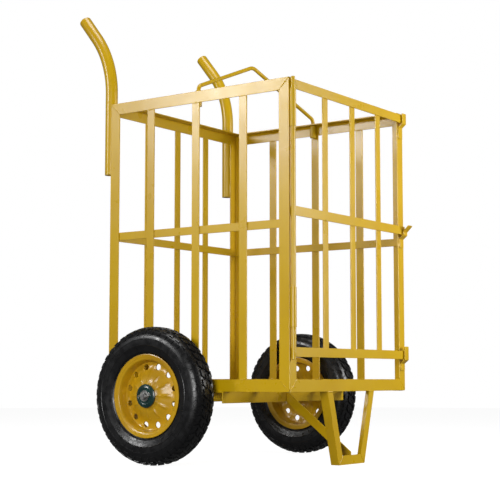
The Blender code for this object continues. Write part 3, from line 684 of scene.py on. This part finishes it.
def bead_corners(shape):
    """Beads down the mitres of the cage's corners, on the outer faces."""
    size = ANGLE_SIZE - 0.002
    for x, out_x in ((LEFT, -1), (RIGHT, 1)):
        for y, out_y in ((FRONT, -1), (REAR, 1)):
            for z, up in ((CAGE_BOTTOM, 1), (CAGE_TOP, -1)):
                inner = Vector((x, y - out_y * size, z + up * size))
                add_bead(shape, (x, y - out_y * 0.002, z + up * 0.002), inner,
                         Vector((out_x, 0, 0)), width=MITRE_BEAD)
                if up > 0 or out_y > 0:
                    inner = Vector((x - out_x * size, y, z + up * size))
                    add_bead(shape, (x - out_x * 0.002, y, z + up * 0.002), inner,
                             Vector((0, out_y, 0)), width=MITRE_BEAD)
                    flat = Vector((x - out_x * size, y - out_y * size, z))
                    add_bead(shape, (x - out_x * 0.002, y - out_y * 0.002, z), flat,
                             Vector((0, 0, -up)), width=MITRE_BEAD)


def bead_undercarriage(shape):
    """Beads at the beams' ends, round the stand's joints and along the axle."""
    for node in ("cross_beam_front", "axle_beam"):
        low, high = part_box(node)
        for x, lean in ((low.x, -1), (high.x, 1)):
            add_bead(shape, (x, low.y + 0.002, high.z), (x, high.y - 0.002, high.z), Vector((lean, 0, -0.2)))
        for y, lean in ((low.y, -1), (high.y, 1)):
            for x_from, x_to in ((low.x + 0.003, low.x + ANGLE_SIZE), (high.x - ANGLE_SIZE, high.x - 0.003)):
                add_bead(shape, (x_from, y, high.z), (x_to, y, high.z), Vector((0, lean, -0.6)))
    axle_low, axle_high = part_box("axle")
    beam_low, beam_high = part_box("axle_beam")
    middle_z = (axle_low.z + axle_high.z) / 2
    for x in (-0.29, -0.15, 0.0, 0.15, 0.29):
        add_bead(shape, (x - 0.018, beam_high.y + 0.001, middle_z + 0.0075),
                 (x + 0.018, beam_high.y + 0.001, middle_z + 0.0075), Vector((0, 0.6, 1)), width=HEAVY_BEAD)
        add_bead(shape, (x - 0.018, beam_high.y + 0.001, middle_z - 0.0075),
                 (x + 0.018, beam_high.y + 0.001, middle_z - 0.0075), Vector((0, 0.6, -1)), width=HEAVY_BEAD)
    for side, sign in SIDES:
        low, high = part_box(f"stand_leg_{side}")
        outer = low.x if sign < 0 else high.x
        add_bead(shape, (outer - sign * 0.030, FRONT, high.z), (outer - sign * 0.003, FRONT, high.z),
                 Vector((0, -1, -0.5)), width=RAIL_BEAD)
        add_bead(shape, (outer, low.y + 0.002, high.z), (outer, high.y - 0.002, high.z),
                 Vector((sign, 0, -0.5)), width=RAIL_BEAD)
        foot_low, foot_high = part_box("stand_foot")
        corner = foot_low.x if sign < 0 else foot_high.x
        add_bead(shape, (corner - sign * 0.001, FRONT, 0.001), (corner - sign * 0.022, FRONT, 0.0255),
                 Vector((0, -1, 0)), width=THIN_BEAD)


def bead_fittings(shape):
    """Beads that hold the handles, hinge sleeves and hooks to the cage."""
    for side, _ in SIDES:
        low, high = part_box(f"handle_{side}")
        x = (low.x + high.x) / 2
        for edge in (-1, 1):
            line = x + edge * 0.0095
            for z_from, z_to in ((low.z + 0.004, low.z + 0.045), (0.985, 1.020), (1.060, CAGE_TOP - 0.003)):
                add_bead(shape, (line, REAR + 0.0025, z_from), (line, REAR + 0.0025, z_to),
                         Vector((edge, 0.3, 0)), width=HEAVY_BEAD)
    for node in ("hinge_sleeve_upper", "hinge_sleeve_lower"):
        low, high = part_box(node)
        x = (low.x + high.x) / 2
        for z_from, z_to in ((low.z + 0.006, low.z + 0.028), (high.z - 0.034, high.z - 0.012)):
            add_bead(shape, (x + 0.0055, FRONT - 0.0012, z_from), (x + 0.0055, FRONT - 0.0012, z_to),
                     Vector((0.8, -0.5, 0)), width=HINGE_BEAD)
    for node in ("gate_hook_top", "gate_hook_mid", "gate_hook_bottom"):
        low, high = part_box(node)
        for x, lean in ((low.x, -1), (high.x, 1)):
            add_bead(shape, (x, FRONT - 0.0006, low.z + 0.002), (x, FRONT - 0.0006, low.z + 0.020),
                     Vector((lean, -0.6, 0)))


def gate_beads():
    """Beads where the gate's bars and stile meet its rails; they swing with it."""
    shape = bmesh.new()
    for level in ("top", "mid", "bottom"):
        rail_low, rail_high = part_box(f"gate_rail_{level}")
        for n in BAR_NUMBERS:
            low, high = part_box(f"gate_bar_{n}")
            for x, lean in ((low.x, -1), (high.x, 1)):
                z_from = max(rail_low.z, low.z) + 0.003
                z_to = min(rail_high.z, high.z) - 0.003
                add_bead(shape, (x, rail_high.y, z_from), (x, rail_high.y, z_to),
                         Vector((lean, 1, 0)), width=GATE_BAR_BEAD)
        add_bead(shape, (rail_low.x + 0.0008, rail_low.y, rail_low.z + 0.002),
                 (rail_low.x + 0.0008, rail_low.y, rail_high.z - 0.002),
                 Vector((0, -1, 0)), width=GATE_END_BEAD)
    add_piece("gate_welds", shape, PAINT, "gate", smooth_angle=60)


def build_welds():
    shape = bmesh.new()
    bead_slats(shape)
    bead_mid_rails(shape)
    bead_corners(shape)
    bead_undercarriage(shape)
    bead_fittings(shape)
    add_piece("frame_welds", shape, PAINT, "frame", smooth_angle=60)
    gate_beads()


# ---------------------------------------------------------------- finish of the CAD nodes
def soften_edges(node):
    """Rolled steel's slightly rounded edges, on a CAD node that stays."""
    weld = node.modifiers.new("join", "WELD")
    weld.merge_threshold = 0.00001
    bevel = node.modifiers.new("round", "BEVEL")
    bevel.width = 0.0008
    bevel.segments = 2
    bevel.limit_method = "ANGLE"
    bevel.angle_limit = radians(40)
    bevel.harden_normals = False


def finish_cad_nodes():
    slots = {part["node"]: part["material_slot"] for part in frame["record"]["subparts"]}
    for name, node in NODES.items():
        node.data.materials.clear()
        node.data.materials.append(SLOT_MATERIALS[slots[name]])
        if slots[name] == "yellow_paint":
            soften_edges(node)


# ---------------------------------------------------------------- stage, lights and camera
def stage_piece(name, profile, glow, albedo):
    """A round white surface that the camera sees but that throws no light on the cart."""
    shape = bmesh.new()
    lathe_into(shape, profile, Vector((0, 0, -0.0005)), Z_AXIS, 64, closed=False)
    bmesh.ops.recalc_face_normals(shape, faces=shape.faces)
    mesh = bpy.data.meshes.new(name)
    shape.to_mesh(mesh)
    shape.free()
    mesh.shade_smooth()
    painter = Painter(name)
    painter.set(Base_Color=(albedo, albedo, albedo, 1.0), Roughness=0.9, Specular_IOR_Level=0.0,
                Emission_Color=(1.0, 1.0, 1.0, 1.0), Emission_Strength=glow)
    mesh.materials.append(painter.material)
    surface = bpy.data.objects.new(name, mesh)
    surface.visible_diffuse = False
    surface.visible_glossy = False
    bpy.context.scene.collection.objects.link(surface)


def build_stage():
    """A pale round floor that curves up into a pale wall."""
    floor_radius, bend, wall_top = 7.0, 2.5, 6.0
    stage_piece("pale_floor", [(0, 0.0), (0, 2.0), (0, 5.0), (0, floor_radius)], 0.93, 0.25)
    wall = [(bend * (1 - cos(pi / 2 * step / 12)), floor_radius + bend * sin(pi / 2 * step / 12))
            for step in range(13)]
    stage_piece("pale_wall", wall + [(wall_top, floor_radius + bend)], 1.0, 0.0)


def add_softbox(name, place, aim, size, power):
    light = bpy.data.lights.new(name, "AREA")
    light.shape = "RECTANGLE"
    light.size, light.size_y = size
    light.energy = power
    lamp = bpy.data.objects.new(name, light)
    lamp.location = place
    lamp.rotation_euler = (Vector(aim) - Vector(place)).to_track_quat("-Z", "Y").to_euler()
    lamp.visible_camera = False
    bpy.context.scene.collection.objects.link(lamp)


def build_lights():
    world = bpy.data.worlds.new("studio")
    bpy.context.scene.world = world
    world.use_nodes = True
    background = world.node_tree.nodes["Background"]
    background.inputs["Color"].default_value = (1.0, 1.0, 1.0, 1.0)
    background.inputs["Strength"].default_value = WORLD_STRENGTH
    for name, place, size, power in SOFTBOXES:
        add_softbox(name, place, (0, MIDDLE_Y, LIGHT_AIM_Z), size, power)


def build_camera():
    data = bpy.data.cameras.new("camera")
    data.lens = CAMERA_LENS
    data.sensor_width = 36.0
    camera = bpy.data.objects.new("camera", data)
    heading = Matrix.Rotation(CAMERA_HEADING - pi / 2, 4, "Z")
    turn = heading @ Matrix.Rotation(pi / 2 + CAMERA_PITCH, 4, "X")
    place = CAMERA_FROM_CAGE + Vector((0, MIDDLE_Y, 0))
    camera.matrix_world = Matrix.Translation(place) @ turn
    bpy.context.scene.collection.objects.link(camera)
    bpy.context.scene.camera = camera


build_camera()
build_lights()
build_stage()
bpy.context.scene.view_settings.view_transform = "Standard"
finish_cad_nodes()
for wheel_name, wheel_side in SIDES:
    build_tyre(wheel_name)
    build_rim(wheel_name, wheel_side)
    build_hub(wheel_name, wheel_side)
build_washers()
build_handles()
build_hoop()
build_upright_tubes()
build_welds()
